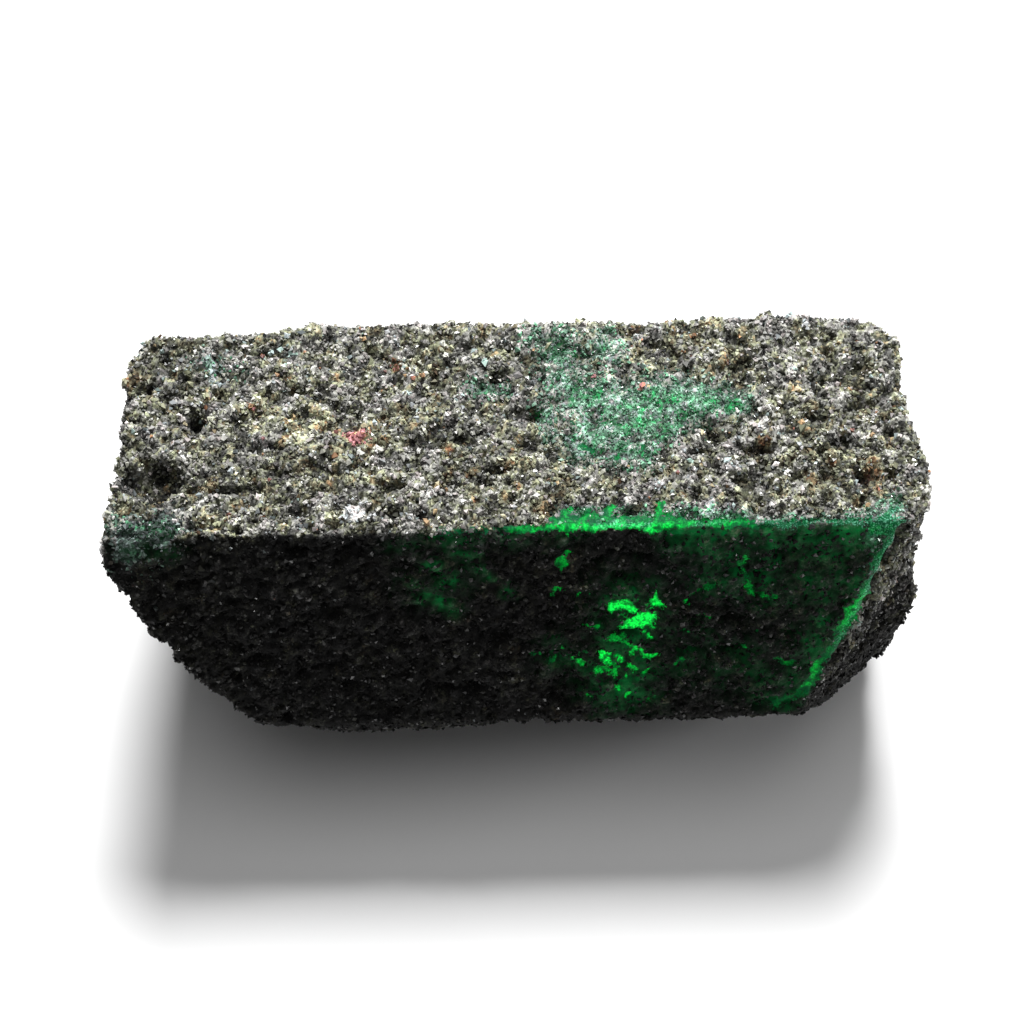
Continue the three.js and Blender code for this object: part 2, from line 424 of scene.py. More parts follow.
# Larger grains of the top face, each a cluster of chips: x, y, width, place on the chart of casts, and how
# light
singleGrains = [
    (-16.3, -0.5, 1.1, 0.03, 0.86), (-15.5, -0.8, 0.9, 0.05, 0.88), (-15.9, -1.3, 0.7, 0.03, 0.80),
    (8.1, 5.9, 0.95, 0.05, 0.84), (12.9, 4.1, 0.95, 0.06, 0.88), (13.6, 4.3, 0.7, 0.20, 0.90),
    (-25.2, -0.6, 0.6, 0.05, 0.70), (-22.3, 1.6, 0.8, 0.18, 0.88), (-26.4, 3.2, 0.8, 0.12, 0.74),
    (-26.2, 4.3, 0.9, 0.34, 0.88), (-30.2, 5.3, 0.9, 0.58, 0.98), (-30.4, 1.8, 0.9, 0.42, 0.94),
    (-33.5, 2.1, 1.0, 0.68, 0.96), (-33.1, 1.4, 0.7, 0.24, 0.88), (-39.5, 5.9, 0.9, 0.30, 0.78),
    (-27.4, 10.3, 1.1, 0.62, 0.93), (-27.2, 9.4, 0.8, 0.15, 0.74), (-24.6, 9.7, 0.9, 0.78, 0.90),
    (-25.5, 8.8, 0.6, 0.07, 0.68), (-20.6, 7.7, 0.9, 0.56, 0.94), (-23.9, 6.7, 0.8, 0.14, 0.78),
    (-15.5, 10.4, 0.8, 0.16, 0.88), (-26.4, -1.6, 0.6, 0.60, 1.00), (-25.2, -2.4, 0.6, 0.11, 0.72),
    (-33.3, -10.0, 0.6, 0.62, 1.00), (-29.5, -10.1, 0.8, 0.34, 0.84), (-16.3, -9.0, 1.1, 0.72, 0.98),
    (-20.9, -8.2, 0.7, 0.60, 0.97), (-24.5, -5.5, 0.6, 0.07, 0.76), (-10.4, 5.9, 0.9, 0.08, 0.80),
    (-9.3, 6.2, 0.8, 0.13, 0.80), (-9.0, 5.0, 0.8, 0.42, 0.97), (-8.4, 7.5, 0.9, 0.30, 0.92),
    (-7.2, 8.6, 0.9, 0.48, 1.00), (-5.6, 8.1, 1.1, 0.40, 0.95), (-5.5, 7.3, 0.7, 0.13, 0.76),
    (-3.0, 7.9, 1.0, 0.80, 0.95), (3.3, 7.3, 0.8, 0.55, 1.00), (3.5, 9.8, 0.9, 0.33, 0.76),
    (-15.2, -2.7, 1.0, 0.55, 0.94), (-13.6, -2.5, 1.0, 0.50, 0.92), (-14.0, -1.9, 0.6, 0.11, 0.76),
    (-9.5, -2.8, 0.7, 0.58, 0.98), (-9.5, -5.8, 1.1, 0.67, 0.90), (-12.1, -5.7, 0.9, 0.66, 0.82),
    (-7.9, -6.1, 1.1, 0.22, 0.90), (-3.3, -6.8, 1.0, 0.60, 0.96), (2.1, -8.1, 1.0, 0.58, 0.98),
    (-5.2, -8.9, 0.8, 0.58, 0.96), (-8.9, -10.8, 0.9, 0.15, 0.78), (-1.2, -10.3, 0.7, 0.28, 0.92),
    (24.7, -0.1, 1.2, 0.60, 1.00), (23.9, 0.1, 0.9, 0.38, 0.94), (28.4, 3.5, 1.0, 0.20, 0.90),
    (27.6, 3.8, 0.9, 0.30, 0.92), (28.4, -0.8, 0.8, 0.14, 0.88), (27.8, -0.6, 0.6, 0.08, 0.76),
    (25.1, 1.8, 1.1, 0.52, 0.94), (22.2, 1.2, 0.8, 0.56, 0.98), (18.6, -1.3, 1.0, 0.26, 0.94),
    (26.4, -5.7, 1.0, 0.55, 0.97), (35.5, -1.5, 1.1, 0.62, 0.95), (35.3, -2.2, 0.7, 0.16, 0.84),
    (33.6, -1.4, 0.6, 0.07, 0.72), (27.9, -3.0, 0.9, 0.72, 0.94), (32.5, -4.5, 0.8, 0.33, 0.88),
    (21.4, -7.8, 1.0, 0.38, 0.92), (34.2, -9.7, 0.8, 0.15, 0.84), (29.8, 10.8, 1.0, 0.72, 0.94),
    (17.2, -4.5, 0.9, 0.82, 0.92), (15.6, -4.2, 0.9, 0.40, 0.90), (10.8, -4.8, 0.9, 0.62, 0.90),
]

# Places where the crust is thicker: the middle, the half-widths and the height
bulges = [
    ((-8.0, 12.2, 39.6), (38.0, 2.6, 3.0), 0.65),
    ((26.0, 12.2, 39.6), (18.0, 2.8, 3.0), 0.80),
    ((-20.0, 12.2, 39.6), (5.5, 2.8, 3.0), 0.40),
    ((41.0, -11.0, 21.0), (6.0, 7.0, 9.0), 1.0),
    ((40.5, -5.5, 37.0), (3.0, 3.4, 4.5), 0.7),
    ((-13.5, -20.8, 16.0), (13.0, 4.0, 4.5), 0.9),
    ((-33.0, -19.5, 26.0), (6.0, 5.0, 6.0), 0.4),
    ((-40.0, -9.0, 35.0), (3.0, 5.0, 5.0), 0.3),
]

crustRelief = {
    "clumps": [(1.50, 24), (0.80, 34)],   # width and noise seed of the coarse and the fine clumps
    "crust": 0.36,         # how high the crust lies over the solid's faces, and the beryl, in mm
    "beryl": -0.22,
    "highest": 0.78,       # how high the crust may rise, bulges apart
    "broadLump": 0.30,     # how far each thing raises or lowers it
    "smallLump": 0.22,
    "endLump": 0.35,
    "coarseStep": 0.30,
    "coarseDome": 0.36,
    "coarseCrack": 0.22,
    "fineStep": 0.36,
    "fineDome": 0.30,
    "fineCrack": 0.12,
    "hollow": 0.80,
    "ridge": 0.26,
    "groove": 0.55,
    "berylRipple": 0.05,
    "top": 40.0,           # where the listed hollows of the top face lie, and their half-height and depth
    "hollowReach": 2.5,
    "hollowDepth": 1.0,
}


def nearStretches(across, along, stretches):
    # how close each point is to each straight stretch: 1 on it, about 0.37 at its half-width, fading to 0
    for x0, y0, x1, y1, halfWidth, *strengths in stretches:
        length2 = (x1 - x0) ** 2 + (y1 - y0) ** 2
        part = np.clip(((across - x0) * (x1 - x0) + (along - y0) * (y1 - y0)) / length2, 0, 1)
        gap2 = (across - x0 - part * (x1 - x0)) ** 2 + (along - y0 - part * (y1 - y0)) ** 2
        yield np.exp(-gap2 / halfWidth ** 2), strengths


def strongest(across, along, stretches):
    # the largest of the stretches' first strengths at each point, each weakened by its distance
    best = np.zeros(len(across))
    for closeness, strengths in nearStretches(across, along, stretches):
        best = np.maximum(best, closeness * strengths[0])
    return best


def farFrom(points, middle, reach):
    # 0 in the middle of a rounded region and 1 at its rim
    return np.linalg.norm((points - np.array(middle)) / np.array(reach), axis=1)


def brightness(across, along, stretches):
    # the mean of the stretches' brightness at each point, weighed by how close they are
    total, weights = np.zeros(len(across)), np.full(len(across), 1e-4)
    for closeness, strengths in nearStretches(across, along, stretches):
        total += closeness ** 2 * strengths[1]
        weights += closeness ** 2
    return total / weights


def openShare(bare):
    # 0 where the crust covers the beryl, and 1 where the beryl is bare
    return ease(crystal["bareFrom"], crystal["bareTo"], bare)


def surveySurface(points, normals, high):
    # What the shape and the finish share at each point: bare (the beryl shows above about 0.5), glow (how
    # brightly its painted glow shines), veil (a dim painted glow between grains), tint (pale green crust,
    # with a faint painted glow), shade (darker crust on the faces turned front and down, partly black
    # biotite and partly painted shade) and dust (pale dust on the beryl). The windows' outlines are bent by
    # noise of two sizes.
    bent = bend(bend(points, 1.2, 0.42, 11), 0.55, 0.20, 14)
    x, y = bent.T[:2]
    down = (high[2] - points[:, 2]) / math.cos(math.pi / 6) + (bent - points)[:, 1]
    frontal = normals @ unit(np.array([0, -math.sqrt(3), 1.0]))
    onFront = ease(0.70, 0.90, frontal)
    roundEdge = ease(0.54, 0.63, frontal)
    onTop = ease(0.70, 0.90, normals[:, 2])
    bareFront = strongest(x, down, frontWindows) * roundEdge
    bareTop = strongest(x, y, topWindows) * onTop
    glow = np.maximum(brightness(x, down, frontWindows) * roundEdge, brightness(x, y, topWindows) * onTop)
    veil = strongest(x, down, frontVeils) * onFront
    tint = strongest(x, y, topTints) * onTop * (1 + 0.25 * softNoise(points, 1.6, 17))
    # painted shade: the faces turned front and down get darker crust, partly black biotite and partly
    # painted shade
    shade = ease(-0.02, 0.36, normals @ unit(np.array([0, -0.8, -0.6])))
    # the slanted right end keeps less painted shade high up, so it is darker towards the bottom
    endShadeLifted = ease(0.45, 0.75, normals[:, 0]) * ease(19, 32, points[:, 2])
    shade = shade * (1 - 0.95 * endShadeLifted)
    topBloom = np.maximum(strongest(x, y, topDust), berylFinish["leastTopDust"])
    frontBloom = np.maximum(strongest(x, down, frontDust), berylFinish["leastFrontDust"])
    dust = np.maximum(topBloom * onTop, frontBloom * roundEdge)
    return {"bare": np.maximum(bareFront, bareTop), "glow": glow, "veil": veil,
            "tint": np.clip(tint, 0, 1), "shade": shade, "dust": dust}


def crumbs(points):
    # The crumbly clumps, coarse and fine. For each: how far a point is from its clump's middle, from 0 up,
    # how near it is to the crack round the clump, from 0 to 1, and two random numbers of the clump's own.
    clumps = []
    for size, seed in crustRelief["clumps"]:
        middle, gap, tone = pebbleNoise(bend(points, 0.8 * size, 0.3 * size, seed + 5), size, seed)
        crack = ease(0.30, 0.04, gap)
        clumps.append({"middle": middle, "crack": crack, "tone": tone, "lean": tone * 57 % 1})
    return clumps


def carve(points):
    # how deep the pits and hollows are at each point, and how dark their painted shade is
    bent = bend(points, 0.9, 0.28, 61)
    depth, dark = np.zeros(len(points)), np.zeros(len(points))
    small = [((x, y, crustRelief["top"]), (length, width, crustRelief["hollowReach"]),
              crustRelief["hollowDepth"], 1.0) for x, y, length, width in hollows]
    for place, reach, deepest, darkest in pits + small:
        inside = ease(1.0, 0.35, farFrom(bent, place, reach))
        depth = depth + deepest * inside
        dark = np.maximum(dark, darkest * inside)
    return depth, dark


def crustHeight(points, normals, masks, clumps):
    # Height above the flat faces: broad lumps, crumbly clumps of two sizes with cracks between them,
    # hollows, lengthwise ridges and grooves on the left of the top face, and pits. Bare beryl lies lower
    # and nearly flat. Also gives how deep in a crack or a hollow each point is, with the pits' darkness, as
    # the mask for painted shade there.
    high = crustRelief
    lumps = high["broadLump"] * softNoise(points, 9.0, 21) + high["smallLump"] * softNoise(points, 4.2, 22)
    ends = ease(0.5, 0.9, np.abs(normals[:, 0]))
    lumps = lumps * (1 + 1.6 * ends) + high["endLump"] * ends * softNoise(points, 6.0, 23)
    coarse, fine = clumps
    bumps = high["coarseStep"] * (coarse["tone"] - 0.5)
    bumps = bumps - high["coarseDome"] * coarse["middle"] ** 2 - high["coarseCrack"] * coarse["crack"]
    bumps = bumps + high["fineStep"] * (fine["tone"] - 0.5)
    bumps = bumps - high["fineDome"] * fine["middle"] ** 2 - high["fineCrack"] * fine["crack"]
    hollow = ease(0.36, 0.66, softNoise(points, 1.6, 37))
    slices = bend(points, 2.0, 0.5, 38) * np.array([0.20, 1.0, 1.0])
    ridged = ease(8, -14, points[:, 0]) * ease(0.6, 0.95, normals[:, 2])
    ridges = ridged * softNoise(slices, 1.2, 41)
    grooves = ridged * ease(0.30, 0.62, softNoise(slices, 0.95, 42))
    rough = (1 - 0.45 * masks["tint"]) * (1 - 0.25 * masks["shade"])
    carved = high["ridge"] * ridges - high["hollow"] * hollow - high["groove"] * grooves
    height = np.minimum(high["crust"] + lumps + (bumps + carved) * rough, high["highest"])
    bared = openShare(masks["bare"])
    smooth = high["beryl"] + high["berylRipple"] * softNoise(points, 1.4, 29) + 0.6 * lumps
    height = height + (smooth - height) * bared
    depth, dark = carve(points)
    height = height - depth
    for place, reach, swell in bulges:
        height = height + swell * ease(1.0, 0.1, farFrom(points, place, reach))
    deepness = np.maximum(0.7 * coarse["crack"], 0.35 * fine["crack"])
    deepness = np.maximum(deepness, np.maximum(hollow, grooves))
    return height, np.maximum(deepness * rough, 1.7 * dark) * (1 - bared)


def crustColour(points, masks, clumps):
    # The crust's place on the colour chart, before its grains differ: how light it is, and which way its
    # colour leans. Both change from clump to clump. It is darker with painted shade in cracks, pits and
    # hollows, and on the faces turned front and down, partly black crust and partly painted shade. The
    # middle of an accent takes the accent's own colour.
    coarse, fine = clumps
    light = 0.15 * (coarse["tone"] - 0.5) + 0.32 * (fine["tone"] - 0.5) + 0.05 * softNoise(points, 5.0, 53)
    # painted shade: darker in cracks, pits and hollows, and on the faces turned front and down
    light = light - 0.19 * masks["deep"] - crustFinish["shadeDarkening"] * masks["shade"] + 0.02 * masks["tint"]
    lean = 0.20 * (coarse["lean"] - 0.5) + 0.32 * (fine["lean"] - 0.5) + 0.08 * softNoise(points, 7.0, 55)
    lean = lean - 0.03 * np.minimum(masks["deep"], 1)
    for x, y, z, reach, accentCast, accentTone, share in accents:
        solid = share * np.exp(-farFrom(points, (x, y, z), (reach,) * 3) ** 2) > 0.55
        light = np.where(solid, accentTone - crustFinish["middle"], light)
        lean = np.where(solid, accentCast - crustFinish["cast"], lean)
    return light, crustFinish["cast"] + lean


def buildSurface():
    # The solid's faces, met by the rays twice: first to find where the beryl is bare, then with each part's
    # own rounding. The crust's height is added along the blended normals.
    low, high = (np.array(corner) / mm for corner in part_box(nodeName))
    normals, distances = planesOf(nodeName)
    starts, directions, columns = raysFromAxis(low, high)
    starts[:, 0] += (low[0] + high[0]) / 2
    sharp = np.full(len(starts), crystal["bareRounding"])
    reach, facing = meetPlanes(starts, directions, normals, distances, sharp)
    masks = surveySurface(starts + directions * reach[:, None], facing, high)
    bared = openShare(masks["bare"])
    rounding = crystal["edgeRounding"] + (crystal["bareRounding"] - crystal["edgeRounding"]) * bared
    reach, facing = meetPlanes(starts, directions, normals, distances, rounding)
    points = starts + directions * reach[:, None]
    clumps = crumbs(points)
    height, masks["deep"] = crustHeight(points, facing, masks, clumps)
    masks["tone"], masks["cast"] = crustColour(points, masks, clumps)
    points = points + facing * height[:, None]
    points[:, 1] = np.clip(points[:, 1], low[1] - crystal["overhang"], high[1] + crystal["overhang"])
    points[:, 2] = np.clip(points[:, 2], 0, high[2] + crystal["headroom"])
    return points, facing, masks, columns


def meshFrom(name, points, polygons, uvs):
    # polygons is a list of arrays, each of faces with as many corners; uvs has a row for each corner
    mesh = bpy.data.meshes.new(name)
    corners = np.concatenate([group.ravel() for group in polygons]).astype(np.int32)
    totals = np.concatenate([np.full(len(group), group.shape[1]) for group in polygons]).astype(np.int32)
    mesh.vertices.add(len(points))
    mesh.vertices.foreach_set("co", (points * mm).astype(np.float32).ravel())
    mesh.loops.add(len(corners))
    mesh.loops.foreach_set("vertex_index", corners)
    mesh.polygons.add(len(totals))
    mesh.polygons.foreach_set("loop_start", (np.cumsum(totals) - totals).astype(np.int32))
    mesh.update(calc_edges=True)
    layer = mesh.uv_layers.new(name="OFBake")
    layer.data.foreach_set("uv", uvs.astype(np.float32).ravel())
    piece = bpy.data.objects.new(name, mesh)
    bpy.context.scene.collection.objects.link(piece)
    return piece


def cornerUvs(*corners):
    # each face's places on the map, from an across and an up for each of its corners, turned to face out
    return np.stack([np.stack(pair, axis=-1) for pair in corners], axis=-2)[..., ::-1, :]


def skinOver(columns, count):
    # quads between neighbouring rings, closed round the bar, and a fan of triangles at each pole
    rows = (count - 2) // columns
    row, column = np.meshgrid(np.arange(rows - 1), np.arange(columns), indexing="ij")
    after = (column + 1) % columns
    here = row * columns
    there = here + columns
    quads = np.stack([here + column, here + after, there + after, there + column], axis=-1)
    quads = quads[..., ::-1].reshape(-1, 4)
    ring = np.arange(columns)
    last = (rows - 1) * columns
    leftPole = np.full(columns, count - 2)
    rightPole = np.full(columns, count - 1)
    leftFan = np.stack([leftPole, ring, (ring + 1) % columns], axis=-1)[:, ::-1]
    rightFan = np.stack([rightPole, last + (ring + 1) % columns, last + ring], axis=-1)[:, ::-1]
    u0 = column / columns
    u1 = (column + 1) / columns
    v0 = (row + 1) / (rows + 1)
    v1 = (row + 2) / (rows + 1)
    edge0 = ring / columns
    edge1 = (ring + 1) / columns
    middle = (edge0 + edge1) / 2
    firstRow = np.full(columns, 1 / (rows + 1))
    lastRow = np.full(columns, rows / (rows + 1))
    uvs = np.concatenate([
        cornerUvs((u0, v0), (u1, v0), (u1, v1), (u0, v1)).reshape(-1, 2),
        cornerUvs((middle, 0 * middle), (edge0, firstRow), (edge1, firstRow)).reshape(-1, 2),
        cornerUvs((middle, 0 * middle + 1), (edge1, lastRow), (edge0, lastRow)).reshape(-1, 2)])
    return [quads, np.concatenate([leftFan, rightFan])], 0.01 + 0.98 * uvs


def storeMasks(piece, masks):
    # one attribute for each mask, which the material reads by name
    for name, values in masks.items():
        layer = piece.data.attributes.new(name, "FLOAT", "POINT")
        layer.data.foreach_set("value", values.astype(np.float32))


class Wire:
    # A node's output that takes part in sums: each operator adds one Math node
    def __init__(self, graph, socket):
        self.graph = graph
        self.socket = socket

    def sum(self, operation, first, second):
        return self.graph.node("ShaderNodeMath", {"operation": operation}, {0: first, 1: second})

    def __add__(self, other):
        return self.sum("ADD", self, other)

    def __radd__(self, other):
        return self.sum("ADD", other, self)

    def __sub__(self, other):
        return self.sum("SUBTRACT", self, other)

    def __rsub__(self, other):
        return self.sum("SUBTRACT", other, self)

    def __mul__(self, other):
        return self.sum("MULTIPLY", self, other)

    def __rmul__(self, other):
        return self.sum("MULTIPLY", other, self)


class Graph:
    # A material's nodes, with short ways to add more
    def __init__(self, name):
        self.material = bpy.data.materials.new(name)
        self.material.use_nodes = True
        self.tree = self.material.node_tree
        self.tree.nodes.clear()

    def node(self, kind, settings=None, values=None, output=0):
        made = self.tree.nodes.new(kind)
        for key, value in (settings or {}).items():
            if key == "stops":
                self.setStops(made.color_ramp, value)
            else:
                setattr(made, key, value)
        for key, value in (values or {}).items():
            if isinstance(value, Wire):
                self.tree.links.new(value.socket, made.inputs[key])
            else:
                made.inputs[key].default_value = value
        return Wire(self, made.outputs[output]) if output is not None else None

    @staticmethod
    def setStops(ramp, stops):
        while len(ramp.elements) < len(stops):
            ramp.elements.new(1.0)
        for element, (position, colour) in zip(ramp.elements, stops):
            element.position = position
            element.color = (*colour, 1.0)

    def ramp(self, factor, stops):
        return self.node("ShaderNodeValToRGB", {"stops": stops}, {0: factor})

    def step(self, value, low, high):
        return self.node("ShaderNodeMapRange", {"interpolation_type": "SMOOTHSTEP"},
                         {"Value": value, "From Min": low, "From Max": high})

    def mix(self, factor, first, second, blend="MIX"):
        return self.node("ShaderNodeMix", {"data_type": "RGBA", "blend_type": blend},
                         {0: factor, 6: first, 7: second}, output=2)

    def attribute(self, name):
        return self.node("ShaderNodeAttribute", {"attribute_name": name}, output=2)

    def noise(self, place, size, detail, roughness=0.5):
        return self.node("ShaderNodeTexNoise", None,
                         {"Vector": place, "Scale": 1 / size, "Detail": detail, "Roughness": roughness})

    def pebbles(self, place, size, output):
        return self.node("ShaderNodeTexVoronoi", {"feature": "F1"}, {"Vector": place, "Scale": 1 / size},
                         output=output)

    def channel(self, colour, which):
        return self.node("ShaderNodeSeparateColor", None, {0: colour}, output=which)

    def dimmed(self, colour, factor):
        grey = self.node("ShaderNodeCombineColor", None, {0: factor, 1: factor, 2: factor})
        return self.mix(1.0, colour, grey, "MULTIPLY")

    def shader(self, **sockets):
        values = {name.replace("_", " "): value for name, value in sockets.items()}
        return self.node("ShaderNodeBsdfPrincipled", None, values)

    def finish(self, shader):
        self.node("ShaderNodeOutputMaterial", None, {0: shader}, output=None)
        return self.material


crustFinish = {
    "pebble": 0.38,        # mm, the size of the painted grains
    "speck": 0.21,         # mm, the specks between them
    "middle": 0.67,        # how far up the chart the grey crust lies
    # the darkening below is partly black biotite and partly painted shade on the faces turned front and
    # down
    "shadeDarkening": 0.515,    # how far down from it the black crust lies
    "cast": 0.47,          # where the grey crust lies on the chart of casts
    "paint": 0.255,        # how light the paint is before pebbles, specks and grit add to it
    "pebbleTone": 0.30,    # how much they add at most
    "speckTone": 0.20,
    "gritTone": 0.36,
    "greenCast": 0.905,    # where the grains of thin green crust lie on the chart of casts
    # Grains that differ from their neighbours: how likely, and between which casts. Each row takes some of
    # the grains of the row before it.
    "strayCasts": [(0.150, 0.70, 0.80), (0.090, 0.62, 0.68), (0.014, 0.08, 0.30)],
    # The chart's first direction, from black to white, and its second, which way a colour leans:
    # rose, rust, ochre, straw, olive, two neutrals, pink, blue, and three sea greens
    "tones": [(0.00, (0.0015,) * 3), (0.18, (0.006,) * 3), (0.36, (0.024,) * 3), (0.52, (0.075,) * 3),
              (0.68, (0.20,) * 3), (0.84, (0.42,) * 3), (1.00, (0.78,) * 3)],
    "casts": [(0.06, (1.00, 0.44, 0.46)), (0.10, (1.00, 0.46, 0.24)), (0.18, (1.00, 0.74, 0.40)),
              (0.27, (1.00, 0.92, 0.62)), (0.36, (0.88, 0.94, 0.60)), (0.46, (1.00, 0.99, 0.87)),
              (0.58, (1.00, 1.00, 0.95)), (0.66, (1.00, 0.89, 0.86)), (0.75, (0.82, 0.94, 0.98)),
              (0.85, (0.64, 1.00, 0.78)), (0.93, (0.38, 1.00, 0.58)), (1.00, (0.14, 1.00, 0.36))],
}

berylFinish = {
    "colour": (0.003, 0.060, 0.024, 1.0),
    # painted glow: the next three colours are emitted, standing in for light that comes through the beryl
    "light": (0.002, 0.84, 0.055, 1.0),       # the light that comes through it
    "paleGlow": (0.030, 0.84, 0.180, 1.0),   # the same where dust scatters it
    "dimGlow": (0.001, 0.74, 0.150, 1.0),    # and where it comes between the grains of thin crust
    "veil": 0.10,                             # how strong that dim light is
    "dust": (0.22, 0.60, 0.42, 1.0),          # the bloom of fine dust on it
    "leastTopDust": 0.08,                     # how dusty it is where no row of dust is near
    "leastFrontDust": 0.03,
}


def chartColour(g, tone, cast):
    # the chart's grey for a tone, multiplied by its tinge for a cast
    return g.mix(1.0, g.ramp(tone, crustFinish["tones"]), g.ramp(cast, crustFinish["casts"]), "MULTIPLY")


def crustShader(g, place, grit, edge):
    # Rough crust painted with pebbles, specks and grit in the chart's colours. A dim green light, a painted
    # glow, shows in blotches where it is thin and on the pale green crust.
    veil, tint, shade = (g.attribute(name) for name in ("veil", "tint", "shade"))
    pebble = g.pebbles(place, crustFinish["pebble"], 1)
    speck = g.pebbles(place, crustFinish["speck"], 1)
    # the tone attribute carries the painted shade of cracks, pits, hollows and the faces turned front and
    # down
    tone = crustFinish["paint"] + g.attribute("tone") + g.channel(pebble, 0) * crustFinish["pebbleTone"]
    tone = tone + g.channel(speck, 0) * crustFinish["speckTone"] + grit * crustFinish["gritTone"]
    cast = g.attribute("cast") + g.channel(pebble, 1) * 0.16 - 0.13 + shade * 0.05 + tint * 0.46
    relief = grit * 0.6 - g.pebbles(place, crustFinish["pebble"], 0)
    bump = g.node("ShaderNodeBump", None, {"Strength": 0.8, "Distance": 0.12 * mm, "Height": relief})
    broadBlotch = g.step(g.noise(place, 2.2, 3.0, 0.6), 0.40, 0.64)
    smallBlotch = g.step(g.noise(place, 0.9, 3.0), 0.32, 0.68)
    # painted glow: emission in blotches over the veils and the pale green crust
    paintedHaze = veil * (0.18 + broadBlotch * 0.8) * (0.45 + 0.7 * smallBlotch)
    paintedHaze = (paintedHaze + tint * tint * 3.2 * g.step(edge, 0.44, 0.60)) * berylFinish["veil"]
    return g.shader(Base_Color=chartColour(g, tone, cast), Roughness=0.85, Normal=bump, IOR=1.3,
                    Emission_Color=g.dimmed(berylFinish["dimGlow"], paintedHaze), Emission_Strength=1.0)


def berylShader(g, place, grit, openness):
    # Green beryl under a bloom of dust, with a painted green glow, an emission, where light would come
    # through it. The glow is weaker towards the rim of each window, and mottled by noise of two sizes.
    glow, dust = (g.attribute(name) for name in ("glow", "dust"))
    dusty = g.step(grit, 0.50, 0.64) * dust
    broadMottle = g.step(g.noise(place, 0.75, 3.0), 0.34, 0.58)
    fineMottle = g.step(g.noise(place, 0.22, 3.0), 0.36, 0.62)
    mottle = broadMottle * (0.35 + fineMottle)
    core = 0.30 + 0.78 * g.step(openness, 1.68, 2.20)
    light = g.mix(dust, berylFinish["light"], berylFinish["paleGlow"])
    return g.shader(Base_Color=g.mix(dusty, berylFinish["colour"], berylFinish["dust"]), Roughness=0.55,
                    Emission_Color=g.dimmed(light, glow * core * (0.14 + mottle)), Emission_Strength=1.0,
                    IOR=1.57, Specular_IOR_Level=0.03)


def bodyMaterial():
    # crust, and beryl in the windows, whose rims are made ragged by noise of two sizes
    g = Graph("crusted_beryl")
    place = g.node("ShaderNodeTexCoord", output=3)
    place = g.node("ShaderNodeVectorMath", {"operation": "SCALE"}, {0: place, "Scale": 1 / mm})
    grit = g.noise(place, 0.16, 3.0, 0.7)
    edge = g.noise(place, 0.55, 4.0, 0.65)
    openness = g.attribute("bare") + edge * 1.5 + grit * 0.9
    window = g.step(openness, 1.64, 1.76)
    crust = crustShader(g, place, grit, edge)
    beryl = berylShader(g, place, grit, openness)
    g.material.cycles.emission_sampling = "NONE"   # the glow is seen, but lights nothing round it
    return g.finish(g.node("ShaderNodeMixShader", None, {0: window, 1: crust, 2: beryl}))


# One dictionary for each mineral. size is a grain's usual width in mm, spread is how much it varies, and
# flat is how thick the grains are beside their width. onTop, onDark, onTint and inCracks are how likely
# they are on the grey crust, the darker crust of the faces turned front and down, the green crust and in
# the cracks; dark grains gathered on those faces and in the cracks are partly painted shade. light is
# their place on the chart.
minerals = [
    {"name": "biotite_grains", "slot": "schist_crust", "count": 24900, "size": 0.38, "spread": 0.36,
     "flat": (0.40, 0.75), "onTop": 0.30, "onDark": 1.6, "onTint": 0.15, "inCracks": 1.2,
     "light": (0.42, 0.64), "roughness": 0.60, "gloss": 0.15},
    {"name": "hornblende_grains", "slot": "schist_crust", "count": 13000, "size": 0.37, "spread": 0.32,
     "flat": (0.50, 0.85), "onTop": 1.0, "onDark": 0.10, "onTint": 0.4, "inCracks": 1.5,
     "light": (0.34, 0.62), "roughness": 0.36, "gloss": 0.5},
    {"name": "quartz_grains", "slot": "schist_crust", "count": 24500, "size": 0.38, "spread": 0.34,
     "flat": (0.65, 1.0), "onTop": 1.0, "onDark": 0.10, "onTint": 0.8, "inCracks": 0.55,
     "light": (0.72, 0.96), "roughness": 0.35, "gloss": 0.5},
    {"name": "feldspar_grains", "slot": "schist_crust", "count": 22000, "size": 0.40, "spread": 0.36,
     "flat": (0.6, 0.95), "onTop": 1.0, "onDark": 0.14, "onTint": 0.6, "inCracks": 0.65,
     "light": (0.67, 0.95), "roughness": 0.62, "gloss": 0.3},
    {"name": "mica_flakes", "slot": "mica_flakes", "count": 11500, "size": 0.38, "spread": 0.34,
     "flat": (0.12, 0.30), "onTop": 1.0, "onDark": 0.14, "onTint": 0.7, "inCracks": 0.5,
     "light": (0.67, 0.98), "roughness": 0.20, "gloss": 0.6},
    {"name": "beryl_grains", "slot": "emerald_beryl", "count": 4300, "size": 0.28, "spread": 0.26,
     "flat": (0.5, 0.9), "onTop": 0.0, "onDark": 0.0, "onTint": 1.0, "inCracks": 0.5,
     "light": (0.58, 0.92), "roughness": 0.35, "gloss": 0.5},
]

# A chip before it is shaped: a double pyramid with six corners and eight faces
chipCorners = np.array([[1, 0, 0], [-1, 0, 0], [0, 1, 0], [0, -1, 0], [0, 0, 1], [0, 0, -1]], float)
chipFaces = np.array([[0, 2, 4], [2, 1, 4], [1, 3, 4], [3, 0, 4],
                      [2, 0, 5], [1, 2, 5], [3, 1, 5], [0, 3, 5]])

chip = {
    "smallest": 0.18,        # mm, the least and the greatest width
    "largest": 0.78,
    "length": (0.8, 1.25),   # between which shares of its width its length lies, and its breadth
    "breadth": (0.7, 1.0),
    "uneven": 0.30,          # how far its corners stray, as a share of half its width
    "tip": 0.55,             # how far it tips away from the crust's normal
    "lift": (0.12, 0.14),    # how far it stands out of the crust, beside its width: at least, and more
    "faceTone": 0.05,        # how much its faces differ in tone and in cast
    "faceCast": 0.012,
    # each face's own small triangle on the map
    "patch": np.array([[-1.6, -1.2], [1.6, -1.2], [0.0, 1.8]]) / 1024,
}


